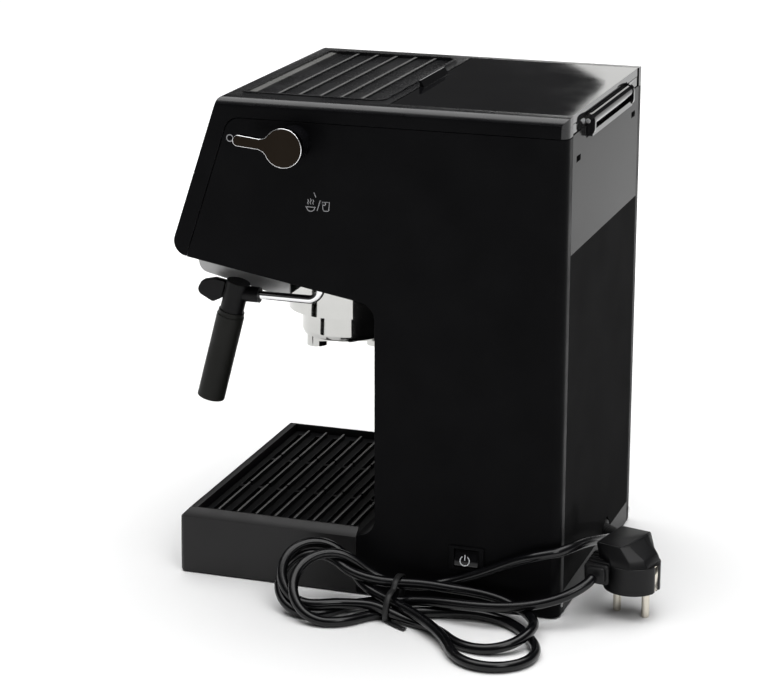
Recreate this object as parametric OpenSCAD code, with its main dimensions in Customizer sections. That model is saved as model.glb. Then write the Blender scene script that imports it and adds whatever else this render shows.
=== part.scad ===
// Pump espresso machine: housing, brew group, water tank, steam side, controls, drip tray and mains lead.
// The machine faces -Y, its lever and switch are on +X, and +Z is up. Every size is in millimetres.

/* [Housing] */
// Width of the housing across both side panels
body_w = 185; // [183:1:187]
// Height of the housing without the lid's grip
body_h = 304; // [302:1:307]
// Distance from the middle of the housing to its rear face
rear_y = 122.5; // [122:0.5:124]
// Height of the seam between the side panels and the top shell
seam_z = 292; // [291:1:293]
// Thickness of the housing's walls
wall = 2.5; // [2.2:0.1:2.8]

/* [Head] */
// Front edge of the top, from the middle of the housing
front_top_y = -91.7; // [-93:0.5:-90]
// How far the front leans out for each millimetre down
front_lean = 0.334; // [0.32:0.002:0.35]
// Front end of the side panels' lower edge
head_low_y = -113.3; // [-115:0.5:-112]
// Height of that end above the table
head_low_z = 204.7; // [203:0.5:206]
// How far the lower edge falls for each millimetre towards the rear
under_slope = 0.17; // [0.16:0.005:0.18]

/* [Column] */
// Front face of the column
column_y = 6.6; // [5:0.2:8]
// Height of the ledge behind the drip tray
ledge_z = 38.7; // [37:0.5:40]
// Seam between the drip tray and the column
tray_seam_y = -5; // [-6:0.5:-4]

/* [Drip tray] */
// Front face of the drip tray
tray_front_y = -122.5; // [-124:0.5:-121]
// Height of the tray's outer edge
tray_edge_z = 37.2; // [36:0.2:38]
// Height of the tray's inner rim
tray_rim_z = 42; // [41:0.5:43]
// Distance between the grille's bars
bar_pitch = 12.6; // [12:0.2:13]

/* [Water tank] */
// Width of the tank
tank_w = 142; // [138:1:144]
// Height of the tank's floor
tank_z = 168; // [166:1:172]

/* [Brew group] */
// Middle of the brew group, from the middle of the housing
group_y = -43.5; // [-44:0.5:-43]
// Radius of the filter holder
holder_r = 28.5; // [27.5:0.5:29]
// Angle from the front at which the filter holder is put in
insert_angle = 71; // [68:1:74]
// Length of the filter holder's handle from its middle
handle_reach = 158; // [150:1:165]

/* [Steam] */
// Distance of the steam pipe from the middle of the housing
wand_x = 76; // [75:0.5:77]
// Lean of the steam tube
wand_lean = 14.7; // [13:0.5:16]
// Height of the lever's shaft
lever_z = 280.3; // [279:0.5:281]
// Place of the lever's shaft behind the front
lever_y = -42.4; // [-44:0.5:-41]

/* [Cord] */
// Diameter of the mains lead
cord_d = 6.2; // [6:0.1:6.6]

/* [Hidden] */
$fn = 64;
FINE = 96;
COARSE = 24;
side_x = body_w / 2;
inner_x = side_x - wall;
gap = 0.3;
rocker_x = side_x - 1;
foot_h = 2.2;
base_gap = 1;
corner_r = 6;
rear_lap_x = 81.3;
tray_in_y = -8.5;
front_angle = atan(front_lean);
lid_front_y = 13;
hinge_y = 123;
hinge_z = 295.4;
hinge_r = 3.9;
ear_x = 47;
lever_out = 21;
lever_r = 11.8;
insert_dir = [-sin(insert_angle), -cos(insert_angle)];
handle_r = 12.5;
group_z = 157;
grip_x = 62;
tab_z = 157.2;
ring_r = 37;
pipe_r = 2.6;
wand_root_y = -33;
pipe_z = 180;
pipe_bend = 8;
hub_y = -86.3;
hub_z = 187.2;
cord_r = cord_d / 2;
x_max = side_x + lever_out;
x_min = insert_dir.x * handle_reach + insert_dir.y * handle_r;
y_max = hinge_y + hinge_r + 0.5;
y_min = tray_front_y;
x_mid = (x_max + x_min) / 2;
y_mid = (y_max + y_min) / 2;

function unit(v) = v / norm(v);
function under_z(y) = head_low_z - (y - head_low_y) * under_slope;
function front_y(z) = front_top_y - (body_h - z) * front_lean;
function arc_angle(v) = atan2(v.y, v.x);
function fillet(a, b, c, r, n = 10) =
    r <= 0 ? [b] :
    let (
        u = unit(a - b),
        v = unit(c - b),
        half = acos(u * v) / 2,
        centre = b + unit(u + v) * r / sin(half),
        from = arc_angle(b + u * r / tan(half) - centre),
        to = arc_angle(b + v * r / tan(half) - centre),
        sweep = (to - from + 900) % 360 - 180
    )
    [for (i = [0:n]) centre + r * [cos(from + sweep * i / n), sin(from + sweep * i / n)]];
function rounded(points, radii) =
    let (n = len(points))
    [for (i = [0:n - 1]) each fillet(points[(i + n - 1) % n], points[i], points[(i + 1) % n], radii[i])];

module along_x(x0, x1) {
    translate([x0, 0, 0]) rotate([90, 0, 90]) linear_extrude(x1 - x0) children();
}
module along_y(y0, y1) {
    translate([0, y1, 0]) rotate([90, 0, 0]) linear_extrude(y1 - y0) children();
}
module slab(x0, x1, y0, y1, z0, z1) {
    translate([x0, y0, z0]) cube([x1 - x0, y1 - y0, z1 - z0]);
}
module rod_x(r, x0, x1, y, z) {
    translate([x0, y, z]) rotate([0, 90, 0]) cylinder(r = r, h = x1 - x0);
}
module rod_y(r, y0, y1, x, z) {
    translate([x, y0, z]) rotate([-90, 0, 0]) cylinder(r = r, h = y1 - y0);
}
module rod_z(r, z0, z1, x = 0, y = 0) {
    translate([x, y, z0]) cylinder(r = r, h = z1 - z0);
}
module ring_z(r_out, r_in, z0, z1, x = 0, y = 0) {
    difference() {
        rod_z(r_out, z0, z1, x, y);
        rod_z(r_in, z0 - 1, z1 + 1, x, y);
    }
}
module mirrored() {
    children();
    mirror([1, 0, 0]) children();
}

// The outline of a side panel, seen from +X with Y to the right.
module side_outline() {
    polygon(rounded(
        [[rear_y, base_gap], [rear_y, seam_z], [-84.5, seam_z], [head_low_y, head_low_z],
         [column_y, under_z(column_y)], [column_y, ledge_z], [tray_seam_y, ledge_z],
         [tray_seam_y, base_gap]],
        [0, 0, 10, 0, 11, 11, 0, 0]));
}
// The top band and the front flange, seen from +X.
module band_outline() {
    low_z = under_z(front_y(head_low_z));
    polygon(rounded(
        [[rear_y, seam_z + gap], [rear_y, body_h], [front_top_y, body_h], [front_y(low_z), low_z],
         [head_low_y - gap, head_low_z + gap], [-84.5 - gap, seam_z + gap]],
        [0, 0, 4, 9, 0, 10]));
}
module plan_corners(z0, z1) {
    translate([0, 0, z0]) linear_extrude(z1 - z0)
        polygon(rounded(
            [[-side_x, -135], [side_x, -135], [side_x, rear_y], [-side_x, rear_y]],
            [0, 0, corner_r, corner_r]));
}

module side_panel(mark) {
    difference() {
        intersection() {
            along_x(rear_lap_x, side_x) side_outline();
            plan_corners(0, body_h);
        }
        translate([0, 0, -1]) linear_extrude(body_h)
            polygon(rounded(
                [[0, -130], [inner_x, -130], [inner_x, rear_y - wall], [0, rear_y - wall]],
                [0, 0, corner_r - wall, 0]));
        if (mark) {
            rod_x(4.6, inner_x - 1, side_x + 1, lever_y, lever_z);
            slab(inner_x - 1, side_x + 1, 56.2, 74.4, 26.2, 39.2);
        }
    }
}
module side_panel_right() {
    color([0.07, 0.07, 0.08]) side_panel(true);
}
module side_panel_left() {
    color([0.07, 0.07, 0.08]) mirror([1, 0, 0]) side_panel(false);
}

module top_shell() {
    color([0.1, 0.1, 0.11]) difference() {
        intersection() {
            along_x(-side_x, side_x) band_outline();
            along_y(-135, rear_y)
                polygon(rounded(
                    [[-side_x, 150], [side_x, 150], [side_x, body_h], [-side_x, body_h]],
                    [0, 0, corner_r, corner_r]));
            translate([0, 0, 150]) linear_extrude(body_h)
                polygon(rounded(
                    [[-side_x, -145], [side_x, -145], [side_x, rear_y], [-side_x, rear_y]],
                    [0, 0, corner_r, corner_r]));
        }
        along_x(-inner_x, inner_x)
            polygon([
                [rear_y - wall, seam_z - 1], [rear_y - wall, body_h - 3],
                [front_y(body_h - 3) + 3.2, body_h - 3],
                [front_y(212) + 3.2, 212], [head_low_y - 4, under_z(head_low_y) + 3.5],
                [head_low_y + 4, under_z(head_low_y) + 3.5], [-70, seam_z - 1]]);
        slab(-76, 76, -83, 7, body_h - 4, body_h + 1);
        slab(-rear_lap_x, rear_lap_x, lid_front_y - 1, rear_y + 1, seam_z, body_h + 1);
        on_front(251) slab(-62, 62, -5, 8, -36, 36);
    }
}
// A frame on the leaning front: its Z runs up the face, and its -Y points out of it.
module on_front(z) {
    translate([0, front_y(z), z]) rotate([-front_angle, 0, 0]) children();
}

module rear_panel() {
    rib_pitch = 3.3;
    ribs = 48;
    rib_depth = 1.1;
    rib_x = ribs * rib_pitch / 2;
    color([0.3, 0.3, 0.3]) difference() {
        union() {
            slab(-rear_lap_x + 0.1, rear_lap_x - 0.1, rear_y - 2.6, rear_y, 222, 292.6);
            slab(-rear_lap_x + 0.1, rear_lap_x - 0.1, rear_y - 2.6, rear_y, base_gap, 15);
            translate([0, 0, 15]) linear_extrude(207)
                polygon(concat(
                    [[-rear_lap_x + 0.1, rear_y], [-rear_lap_x + 0.1, rear_y - 2.6],
                     [rear_lap_x - 0.1, rear_y - 2.6], [rear_lap_x - 0.1, rear_y]],
                    [for (i = [0:2 * ribs])
                        [rib_x - i * rib_pitch / 2, rear_y - (i % 2 == 0 ? rib_depth : 0)]]));
        }
        slab(-51, 51, rear_y - 4, rear_y + 1, 285.4, 300);
        mirrored() slab(63, 72.5, rear_y - 4, rear_y + 1, 275.2, 278.8);
        slab(-35, -19, rear_y - 4, rear_y + 1, 0, 15.5);
        rod_y(8, rear_y - 4, rear_y + 1, -27, 15.5);
        relief_cone(0.5);
    }
}

module column_front() {
    t = wall;
    lap_y = -6;
    color([0.09, 0.09, 0.1]) along_x(-inner_x, inner_x)
        polygon(rounded(
            [[lap_y, under_z(lap_y)], [column_y, under_z(column_y)], [column_y, ledge_z],
             [tray_seam_y, ledge_z], [tray_seam_y, 5.8], [tray_seam_y + t, 5.8],
             [tray_seam_y + t, ledge_z - t],
             [column_y + t, ledge_z - t], [column_y + t, under_z(column_y) + t],
             [lap_y, under_z(lap_y) + t]],
            [0, 11, 11, 0, 0, 0, 0, 13.5, 13.5, 0]));
}

module head_floor() {
    lap_y = -6;
    front = head_low_y + 1;
    color([0.09, 0.09, 0.1]) difference() {
        along_x(-inner_x, inner_x)
            polygon([
                [front, under_z(front)], [lap_y, under_z(lap_y)],
                [lap_y, under_z(lap_y) + wall], [front, under_z(front) + wall]]);
        rod_z(44, 150, 230, 0, group_y);
        rod_z(6.2, 150, 230, wand_x, wand_root_y);
    }
    color([0.09, 0.09, 0.1]) mirrored() rod_z(4, 194.5, 196.6, 52, group_y + 6);
}
// The metal chin under the head, cut round the brew group.
module head_shroud() {
    shroud_x = 61;
    color([0.72, 0.72, 0.7]) difference() {
        along_x(-shroud_x, shroud_x)
            polygon(rounded(
                [[head_low_y + 0.5, head_low_z - 0.2], [-120.8, 203.2], [-117.5, 188],
                 [-59, 175], [-59, under_z(-59) - 0.1]],
                [0, 2, 7, 3, 0]));
        along_x(-shroud_x + 1.6, shroud_x - 1.6)
            polygon(rounded(
                [[head_low_y + 1, head_low_z + 1], [-119, 202.2], [-115.7, 189.4],
                 [-50, 174.8], [-50, under_z(-59) + 1]],
                [0, 2, 5.4, 0, 0]));
        rod_z(ring_r + 2, 150, 230, 0, group_y);
    }
}

module control_panel() {
    color([0.62, 0.62, 0.62]) on_front(251) difference() {
        slab(-62, 62, -1.4, 2.6, -36, 36);
        for (x = [-27, 27]) rod_y(9.4, -3, 5, x, 6);
        for (x = [-27, 0, 27]) rod_y(2.1, -3, 5, x, 24);
    }
}
module panel_button(x) {
    on_front(251) {
        rod_y(9.0, -3.4, 6.5, x, 6);
        rod_y(11, 3.4, 5, x, 6);
    }
}
module coffee_button() {
    color([0.12, 0.12, 0.12]) panel_button(-27);
}
module steam_button() {
    color([0.12, 0.12, 0.12]) panel_button(27);
}
module indicator_lamps() {
    color([0.9, 0.35, 0.1]) on_front(251) for (x = [-27, 0, 27]) rod_y(2.1, -1.8, 5, x, 24);
}

module cup_tray_plan(inset, r) {
    x = 76 - inset;
    polygon(rounded(
        [[-x, -83 + inset], [x, -83 + inset], [x, 7 - inset], [-x, 7 - inset]],
        [2, 2, r, r]));
}
module cup_tray() {
    rim = 2.4;
    rim_h = 0.8;
    floor_z = body_h - 1.4;
    strip_y = -72.4;
    rib_pitch = 13.1;
    color([0.08, 0.08, 0.09]) {
        difference() {
            union() {
                slab(-76, 76, -83, 7, body_h - 5, body_h);
                translate([0, 0, body_h]) linear_extrude(rim_h) cup_tray_plan(0.3, 8);
            }
            intersection() {
                along_x(-76, 76)
                    polygon([
                        [-81, body_h + 2], [-81, body_h - 0.3], [-80, body_h - 0.3], [strip_y, floor_z],
                        [6, floor_z], [6, body_h + 2]]);
                translate([0, 0, body_h - 4]) linear_extrude(8) cup_tray_plan(rim, 6);
            }
        }
        for (i = [0:4])
            translate([0, -61.2 + i * rib_pitch, 0]) slab(-73, 73, -0.9, 0.9, floor_z - 0.2, body_h - 0.1);
    }
}

// The tray that the water tank stands in.
module tank_bay() {
    out_x = 77;
    in_x = tank_w / 2 + 1;
    color([0.2, 0.2, 0.21]) difference() {
        union() {
            slab(-out_x, out_x, 33, 119.6, 160, 290);
            slab(-inner_x, inner_x, 33, 115, 286, 289);
        }
        slab(-in_x, in_x, 36, 117.5, 163, 291);
        slab(-54, 54, 116, 121, 285.4, 291);
        rod_z(9, 159, 164, 0, 104);
    }
}
module valve_socket() {
    color([0.75, 0.75, 0.72]) difference() {
        union() {
            rod_z(9, 158, 163, 0, 104);
            rod_z(12, 155, 158, 0, 104);
        }
        rod_z(5, 157, 164, 0, 104);
        rod_z(2.5, 154, 158, 0, 104);
    }
}
module water_tank() {
    hx = tank_w / 2;
    color([0.55, 0.58, 0.6, 0.5]) difference() {
        union() {
            slab(-hx, hx, 37, 116.5, tank_z, 292.9);
            difference() {
                union() {
                    slab(-80, 80, 30, 121.8, 292.9, 295.4);
                    slab(-80, 80, 119.8, 121.8, 295.4, 298.6);
                }
                slab(-ear_x, ear_x, 118.6, 130, 288, 300);
            }
            slab(-50, 50, 116.5, 121.8, 287, 290.6);
            slab(-49.5, 49.5, 121, 126, 286.4, 289.6);
            for (x = [-ear_x - 3, ear_x]) {
                slab(x, x + 3, 119, hinge_y, 287, hinge_z);
                rod_x(4.4, x, x + 3, hinge_y, hinge_z);
                rod_x(4.4, x, x + 3, hinge_y, 290.8);
                slab(x, x + 3, hinge_y, hinge_y + 4.4, 290.8, hinge_z);
            }
            rod_z(8, tank_z - 3, tank_z, 0, 104);
        }
        slab(-hx + 2.2, hx - 2.2, 39.2, 114.3, tank_z + 2.2, 297);
        rod_x(1.55, -ear_x - 5, ear_x + 5, hinge_y, hinge_z);
        rod_z(4, tank_z - 4, tank_z + 3, 0, 104);
    }
}
module tank_valve() {
    color([0.85, 0.3, 0.15]) {
        rod_z(3.8, tank_z - 3, tank_z + 6, 0, 104);
        rod_z(6, tank_z + 2.2, tank_z + 4, 0, 104);
    }
}
module tank_handle() {
    color([0.15, 0.15, 0.16]) {
        mirrored() {
            slab(63, 66, 40.2, 76, 289.2, 292.6);
            rod_x(2, 63, tank_w / 2 - 2.2, 77, 290.9);
            rod_x(2.6, 63, 66, 77, 290.9);
        }
        slab(-66, 66, 40.2, 46, 289.2, 292.6);
    }
}
module tank_lid() {
    lid_x = rear_lap_x - 0.3;
    lid_rear = 121.9;
    skirt_z = 299;
    color([0.05, 0.05, 0.06]) difference() {
        union() {
            slab(-lid_x, lid_x, lid_front_y, lid_rear, body_h - 3.3, body_h);
            difference() {
                slab(-lid_x, lid_x, lid_front_y, lid_rear, skirt_z, body_h - 3.3);
                slab(-lid_x + 2, lid_x - 2, lid_front_y + 2, lid_rear - 2, skirt_z - 1, body_h);
            }
            along_x(-22, 26)
                polygon([
                    [lid_front_y - 0.6, body_h - 3], [lid_front_y - 0.6, body_h + 4.1],
                    [lid_front_y + 0.3, body_h + 4.3], [lid_front_y + 2.8, body_h - 0.1],
                    [lid_front_y + 2.8, body_h - 3]]);
            rod_x(hinge_r, -ear_x + gap, ear_x - gap, hinge_y, hinge_z);
            slab(-ear_x + gap, ear_x - gap, 119.2, 122, hinge_z, body_h - 3);
        }
        rod_x(1.6, -ear_x - 1, ear_x + 1, hinge_y, hinge_z);
        mirrored() slab(ear_x - gap, ear_x + 4, 118, rear_y + 1, 290, 300.4);
    }
}
module lid_pin() {
    color([0.75, 0.75, 0.76]) rod_x(1.55, -ear_x - 3, ear_x + 3, hinge_y, hinge_z);
}

module base_plate() {
    color([0.13, 0.13, 0.14]) difference() {
        union() {
            slab(-86, 86, -112, tray_seam_y, foot_h, 5.8);
            slab(-inner_x, inner_x, tray_seam_y, rear_y - 2.6, foot_h, 5.8);
            for (x = [-60, 60]) slab(x - 1.2, x + 1.2, 0, 116, 5.8, 16);
            for (x = [-24, 24]) slab(x - 2, x + 2, 52, 88, 5.8, 22);
        }
        for (x = [-74, 74], y = [-98, 106]) rod_z(3, foot_h - 1, 7, x, y);
    }
}
module rubber_feet() {
    color([0.05, 0.05, 0.05]) for (x = [-74, 74], y = [-98, 106]) {
        rod_z(9, 0, foot_h, x, y);
        rod_z(3, foot_h, 5.2, x, y);
    }
}

module drip_tray() {
    rear = tray_seam_y - gap;
    color([0.1, 0.1, 0.11]) difference() {
        intersection() {
            along_y(tray_front_y, rear)
                polygon([
                    [-side_x, base_gap], [side_x, base_gap], [side_x, tray_edge_z], [90.8, tray_edge_z + 2.1],
                    [87.4, tray_rim_z], [-87.4, tray_rim_z], [-90.8, tray_edge_z + 2.1],
                    [-side_x, tray_edge_z]]);
            along_x(-side_x, side_x)
                polygon(rounded(
                    [[tray_front_y, base_gap], [rear, base_gap], [rear, tray_rim_z], [-116.5, tray_rim_z],
                     [tray_front_y + 1.5, tray_edge_z]],
                    [2, 0, 0, 1, 2]));
            linear_extrude(50)
                polygon(rounded(
                    [[-side_x, tray_front_y], [side_x, tray_front_y], [side_x, 0], [-side_x, 0]],
                    [4, 4, 0, 0]));
        }
        slab(-84, 84, -109.6, tray_in_y, 9.5, 50);
        slab(-86.4, 86.4, -112, 0, 34.2, 50);
        slab(-88, 88, -119, 0, -1, 7);
    }
}
module drip_grille() {
    gx = 86.1;
    front = -111.7;
    back = -5.6;
    z0 = 34.4;
    z1 = 37;
    bars = 8;
    color([0.03, 0.03, 0.03]) {
        difference() {
            slab(-gx, gx, front, back, z0, z1);
            for (i = [0:bars - 1], x = [-79, -25.5, 28]) {
                slab(x, x + 50.5, front + 4.5 + i * bar_pitch, front + 9.5 + i * bar_pitch, z0 - 1, z1 + 1);
            }
        }
        for (i = [0:bars - 1], x = [-81, -26.5, 28]) {
            slab(x, x + 52.5, front + 10.6 + i * bar_pitch, front + 12.2 + i * bar_pitch, z1, z1 + 3.2);
        }
    }
}

module group_ring() {
    color([0.8, 0.8, 0.8]) translate([0, group_y, 0]) difference() {
        rod_z(ring_r, group_z, 188, $fn = FINE);
        rod_z(holder_r + 0.8, group_z - 1, group_z + 4);
        rod_z(33.6, group_z + 3, 175);
        rotate(-90 - insert_angle) for (side = [0, 180]) rotate(side + 90)
            intersection() {
                rod_z(33.6, group_z - 1, group_z + 4);
                slab(0, 40, -13, 13, group_z - 2, group_z + 5);
            }
        rod_z(3, 170, 190);
    }
}
module group_gasket() {
    color([0.12, 0.12, 0.12]) translate([0, group_y, 0]) ring_z(33.4, 25.5, 166.6, 175);
}
module shower_screen() {
    color([0.78, 0.78, 0.78]) translate([0, group_y, 0]) difference() {
        union() {
            rod_z(25, 167.4, 168.4);
            rod_z(6, 168.4, 175);
        }
        for (ring = [1:2], i = [0:ring * 10 - 1])
            rotate(i * 36 / ring) rod_z(0.9, 166, 170, 5 + ring * 7, 0, $fn = 16);
    }
}
module boiler_lower() {
    color([0.7, 0.7, 0.71]) translate([0, group_y, 0]) {
        rod_z(36.5, 188, 196);
        rod_z(43, 196, 200);
        slab(-58, 58, -2, 14, 196.6, 200);
    }
}
module boiler_upper() {
    color([0.66, 0.66, 0.68]) translate([0, group_y, 0]) {
        rod_z(43, 200, 204);
        rotate_extrude($fn = FINE)
            polygon(rounded([[0, 204], [36, 204], [36, 246], [0, 246]], [0, 0, 10, 0]));
        translate([0, 0, 214]) rotate_extrude($fn = FINE) translate([37.5, 0]) circle(4);
        rod_y(4, 34, 43.5, 0, 226);
        rod_z(3, 245, 252, 16, 0);
    }
}
module boiler_bolts() {
    color([0.75, 0.75, 0.76]) translate([0, group_y, 0])
        for (a = [45:90:315]) rotate(a) rod_z(3.2, 204, 208, 39.6, 0, $fn = 6);
}
module heater_terminals() {
    color([0.8, 0.8, 0.78]) translate([0, group_y, 0]) for (a = [60, 120]) rotate(a) {
        rod_z(2.4, 218, 232, 39, 0);
        slab(38.6, 39.4, -3, 3, 232, 240);
    }
}
module thermostats() {
    color([0.85, 0.85, 0.8]) translate([0, group_y, 0]) for (x = [-14, 0]) {
        rod_z(6, 246, 250, x, -10);
        rod_z(4, 250, 253, x, -10);
    }
}

module pump() {
    color([0.7, 0.68, 0.62]) {
        slab(-22, 22, 50, 84, 38, 86);
        rod_y(14, 42, 92, 0, 62);
        rod_y(4, 92, 98, 0, 62);
        rod_y(3.5, 36, 42, 0, 62);
        slab(-24, 24, 56, 60, 30, 38);
        slab(-24, 24, 76, 80, 30, 38);
    }
}
module pump_mounts() {
    color([0.06, 0.06, 0.06]) for (x = [-22, 22], y = [58, 78]) rod_z(4.5, 22, 30, x, y);
}
module elbow_yz(y, z, bend, r, start) {
    translate([0, y, z]) rotate([0, -90, 0])
        rotate_extrude(angle = 90, start = start) translate([bend, 0]) circle(r);
}
module supply_hose() {
    color([0.85, 0.85, 0.82]) {
        rod_z(4, 74, 155, 0, 104);
        elbow_yz(98, 68, 6, 4, 90);
        rod_z(4, 68, 74, 0, 104);
    }
}
module boiler_hose() {
    color([0.85, 0.85, 0.82]) {
        elbow_yz(36, 72, 10, 3.5, 180);
        rod_z(3.5, 72, 216, 0, 26);
        elbow_yz(16, 216, 10, 3.5, 0);
        rod_y(3.5, 0, 16, 0, 226);
    }
}

module steam_valve() {
    color([0.75, 0.6, 0.3]) difference() {
        union() {
            rod_x(9, 60, inner_x, lever_y, lever_z);
            rod_z(5, 264, lever_z, wand_x, wand_root_y);
            slab(70, 82, lever_y, wand_root_y, 274, 284);
        }
        rod_x(4.05, 70, inner_x + 1, lever_y, lever_z);
    }
}
module steam_pipe() {
    color([0.75, 0.45, 0.3]) rod_z(pipe_r, 208, 264, wand_x, wand_root_y);
}
module wand_nut() {
    color([0.75, 0.75, 0.76]) difference() {
        union() {
            rod_z(6.1, 188.5, 195, wand_x, wand_root_y);
            rod_z(8, 195, 208, wand_x, wand_root_y);
        }
        rod_z(pipe_r + 0.05, 187, 205, wand_x, wand_root_y);
    }
}
module lever_boss() {
    color([0.05, 0.05, 0.06]) {
        rod_x(10.3, side_x + 0.4, side_x + lever_out - 4, lever_y, lever_z);
        rod_x(4, 71, side_x + 0.4, lever_y, lever_z);
    }
}
module steam_lever() {
    arm = 28;
    tilt = 174.4;
    color([0.85, 0.85, 0.86]) translate([side_x + lever_out - 4, lever_y, lever_z]) rotate([90, 0, 90])
        linear_extrude(4) rotate(tilt) union() {
            circle(lever_r);
            translate([0, -2.9]) square([arm, 5.8]);
            translate([arm, 0]) circle(3.4);
            polygon([
                [8.5, -8], [10.4, -5.6], [12.4, -4], [15, -3.2], [arm, -3.4],
                [arm, 3.4], [15, 3.2], [12.4, 4], [10.4, 5.6], [8.5, 8]]);
        }
}

module switch_bezel() {
    color([0.05, 0.05, 0.05]) difference() {
        union() {
            slab(side_x, side_x + 1.4, 54.4, 76.2, 25.3, 40.1);
            slab(78, side_x, 56.4, 74.2, 26.3, 39.1);
        }
        slab(84, side_x + 2, 57.6, 73, 26.9, 38.5);
        rod_y(1, 57, 73.6, rocker_x, 32.7);
    }
}
module power_rocker() {
    color([0.06, 0.06, 0.06]) translate([0, 0, 32.7]) {
        rod_y(0.95, 57.1, 73.5, rocker_x, 0);
        along_y(57.9, 72.7)
            polygon([
                [87, -3], [88, -4.4], [90, -5], [94.3, -5], [93, 2.3], [91.4, 5.2], [88, 4.6], [87, 3]]);
    }
}

module relief_cone(room) {
    translate([-27, 120.5, 14]) rotate([-78, 0, -53])
        cylinder(r1 = 5.4 + room, r2 = cord_r + 0.5 + room, h = 28.4);
}
module cord_gland() {
    color([0.05, 0.05, 0.05]) {
        rod_y(7.6, 112, 122.4, -27, 14);
        relief_cone(0);
    }
}
module panel_screws() {
    color([0.3, 0.3, 0.32]) {
        for (x = [-80, 80], y = [4, 60]) rod_z(3, foot_h - 1.2, foot_h, x, y);
        for (x = [-85.5, 85.5]) rod_y(1.8, rear_y, rear_y + 0.8, x, 8);
    }
}

// The filter holder's own frame: its handle points along +X at rest.
module holder_frame() {
    translate([0, group_y, 0]) rotate(-90 - insert_angle) children();
}
module holder_body() {
    color([0.86, 0.86, 0.86]) holder_frame() difference() {
        union() {
            rotate_extrude($fn = FINE)
                polygon(rounded(
                    [[0, 140], [holder_r - 1, 140], [holder_r, 143], [holder_r, 165.4], [0, 165.4]],
                    [0, 1, 3, 0, 0]));
            for (side = [90, 270]) rotate(side) intersection() {
                rod_z(33.2, group_z + 3.4, group_z + 7);
                slab(20, 40, -11, 11, 150, 170);
            }
            translate([0, 0, 148]) rotate([0, 90, 0]) cylinder(r = 6.5, h = grip_x);
            slab(38.6, 44.4, -10.4, 10.4, 146, 151);
            for (y = [-10.4, 8.4]) slab(38.6, 44.4, y, y + 2, 150, 159.4);
        }
        rod_z(25.6, 143, 170);
        rod_y(1.65, -12, 12, 41.5, tab_z);
        for (y = [-12, 12]) rod_z(3, 130, 148, 0, y);
    }
}
module filter_basket() {
    color([0.8, 0.8, 0.8]) holder_frame() difference() {
        union() {
            rod_z(25.3, 144, 165.4);
            rod_z(holder_r - 0.3, 165.4, 166.2);
        }
        rod_z(24.5, 144.8, 170);
    }
}
module holder_handle() {
    grip = handle_reach - grip_x;
    color([0.05, 0.05, 0.05]) holder_frame() translate([grip_x, 0, 148]) rotate([0, 90, 0]) difference() {
        rotate_extrude($fn = FINE)
            polygon(rounded(
                [[0, -8], [9, -8], [11, 10], [10.5, grip - 42], [handle_r, grip - 12],
                 [handle_r, grip], [0, grip]],
                [0, 3, 20, 60, 30, 6, 0]));
        translate([0, 0, -9]) cylinder(r = 6.5, h = 9);
    }
}
module holder_spouts() {
    color([0.84, 0.84, 0.84]) holder_frame() difference() {
        union() {
            slab(-6.5, 6.5, -19, 19, 134, 140);
            for (y = [-19, 19]) rod_z(6.5, 130.5, 140, 0, y);
            rod_z(9, 134, 140);
        }
        for (y = [-19, 19]) rod_z(4.8, 129, 137.5, 0, y);
        slab(-4, 4, -19, 19, 135.5, 137.5);
        for (y = [-12, 12]) rod_z(3, 136, 141, 0, y);
    }
}
module thumb_tab() {
    color([0.06, 0.06, 0.06]) holder_frame() {
        rod_y(1.6, -10.4, 10.4, 41.5, tab_z);
        slab(40.4, 52, -8, 8, tab_z - 1.1, tab_z + 1.1);
    }
}

module wand_frame() {
    translate([wand_x, hub_y, hub_z]) rotate([-wand_lean, 0, 0]) children();
}
module wand_pipe() {
    color([0.86, 0.86, 0.86]) {
        rod_z(pipe_r, pipe_z + pipe_bend, 204.8, wand_x, wand_root_y);
        translate([wand_x, wand_root_y - pipe_bend, pipe_z + pipe_bend]) rotate([0, -90, 0])
            rotate_extrude(angle = 90, start = 90) translate([pipe_bend, 0]) circle(pipe_r, $fn = COARSE);
        rod_y(pipe_r, -79, wand_root_y - pipe_bend, wand_x, pipe_z);
    }
}
module wand_hub() {
    color([0.04, 0.04, 0.05]) difference() {
        union() {
            wand_frame() rod_z(7.3, -19, 0);
            rod_y(4.8, -84, -72.5, wand_x, pipe_z);
        }
        rod_y(pipe_r, -79, -70, wand_x, pipe_z);
        wand_frame() rod_y(2.05, -10, 0.5, 0, -8);
    }
}
module wand_tube() {
    color([0.16, 0.165, 0.15]) wand_frame() difference() {
        union() {
            rod_z(8.5, -77.5, -22);
            rod_z(8, -22, -19);
        }
        rod_z(6.6, -79, -32);
        rod_z(2, -34, -18);
    }
}
module wand_selector() {
    color([0.04, 0.04, 0.05]) wand_frame() {
        rod_y(2, -9.5, 0, 0, -8);
        along_x(-2.6, 2.6)
            polygon(rounded(
                [[-7.5, -2], [-15, -2.6], [-22.5, -6.5], [-24.5, -14.5], [-12.5, -17.3], [-7.5, -13]],
                [1, 4, 3, 4, 3, 1]));
    }
}

// The mains lead, from its gland to the hank beside the machine, and from the hank to the plug.
lead_path = [
    [-4.8, 137.2, 19.9], [0, 139.4, 21.6], [12, 141.5, 26.5], [28, 141, 32], [46, 138, 37.5],
    [64, 134, 42], [80, 130, 46],
    [90.8, 126.4, 47.4], [97, 118.6, 46], [97.2, 106, 39.5], [97, 95, 33.3]];
tail_path = [
    [104, 120, 16], [104, 126, 18], [103, 132, 20], [101, 137, 23], [96, 140, 26], [88, 141.6, 28]
];
plug_at = [67, 161];
plug_turn = -14;
hank_h = 32;

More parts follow.
